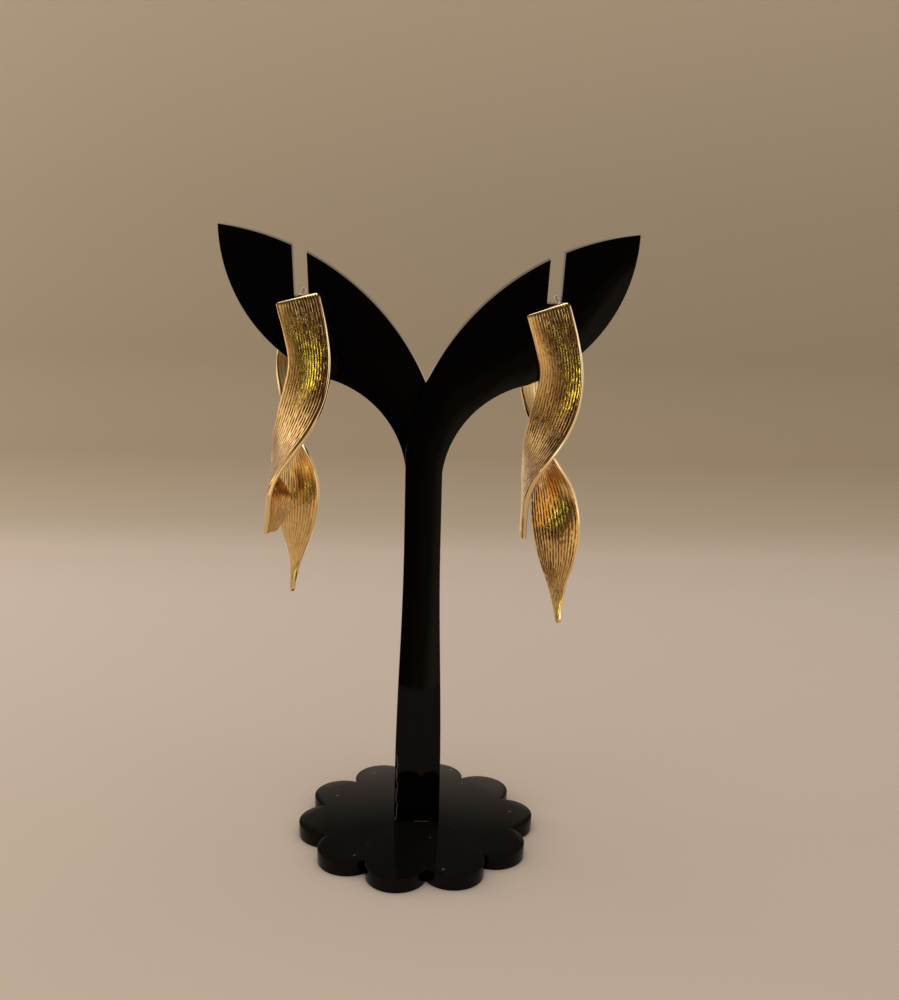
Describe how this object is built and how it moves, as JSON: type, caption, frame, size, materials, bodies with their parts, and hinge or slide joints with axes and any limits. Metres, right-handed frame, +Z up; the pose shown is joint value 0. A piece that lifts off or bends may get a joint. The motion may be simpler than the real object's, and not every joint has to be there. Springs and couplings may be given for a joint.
{
  "type": "earring pair on display stand",
  "caption": "Ribbed gold drop earrings made of twisted ribbon blades, hanging by their posts in the slots of a glossy black two-armed stand with a scalloped base.",
  "frame": {"origin": "on the floor, under the middle of the scalloped base", "axes": "+Z up, +X to the right and -Y towards someone who faces the stand"},
  "size_m": [0.0754, 0.0464, 0.1197],
  "materials": {
    "black_acrylic": "glossy black acrylic sheet with polished cut edges",
    "gold_metal": "gold plated cast metal with fine lengthwise ridges and polished rims"
  },
  "bodies": {
    "root": {"base_plate": "black_acrylic", "front_upright": "black_acrylic", "rear_upright": "black_acrylic", "left_earring": "gold_metal", "right_earring": "gold_metal"}
  },
  "joints": []
}
